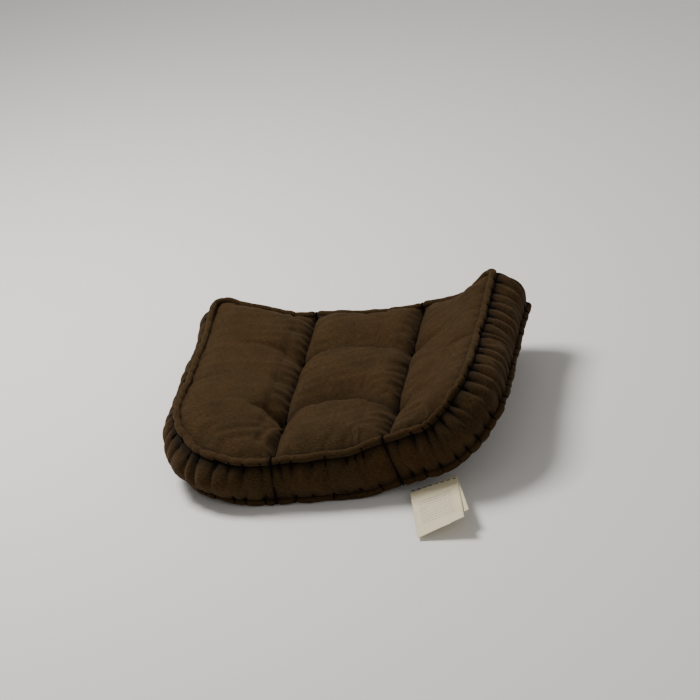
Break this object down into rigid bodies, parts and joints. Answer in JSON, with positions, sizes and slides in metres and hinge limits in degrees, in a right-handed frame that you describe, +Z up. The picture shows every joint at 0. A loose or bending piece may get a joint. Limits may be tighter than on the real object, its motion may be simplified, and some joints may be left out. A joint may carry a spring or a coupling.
{
  "type": "chair seat pad",
  "caption": "Tufted, boxed seat pad with stitched rolled edges, cord-wrapped tufts, a straight back, rounded front corners, a turned-up side and hinged care labels.",
  "frame": {"origin": "middle of the width and depth that the pad has when laid flat, on the surface that it rests on", "axes": "+Z up, -Z out of the underside; +X to the right of someone looking from the front; -Y to the rounded front edge, +Y to the straight back edge"},
  "size_m": [0.4787, 0.5062, 0.1376],
  "materials": {
    "cover": "matte slubby woven cotton",
    "filling": "matte fibre batt",
    "wadding": "matte soft wadding",
    "cord": "matte twisted cord",
    "thread": "matte thread",
    "label": "satin woven label tape"
  },
  "bodies": {
    "pad": {"top_panel": "cover", "bottom_panel": "cover", "boxing_front": "cover", "boxing_back": "cover", "top_roll_cover": "cover", "bottom_roll_cover": "cover", "top_roll_filler": "filling", "bottom_roll_filler": "filling", "core_batt": "filling", "top_wadding": "wadding", "bottom_wadding": "wadding", "border_wadding": "wadding", "wrap_cord_left": "cord", "wrap_cord_right": "cord", "tuft_ties": "cord", "tuft_knots": "cord", "top_roll_stitches": "thread", "bottom_roll_stitches": "thread", "boxing_seam_stitches": "thread", "label_stitches": "thread"},
    "labels": {"care_label_front": "label", "care_label_back": "label"}
  },
  "joints": [
    {"name": "label_swing", "type": "hinge", "parent": "pad", "child": "labels", "pos_m": [0.09338, -0.19947, 0.01124], "axis": [-0.9656, -0.0811, -0.2472], "range_deg": [0, 60]}
  ]
}
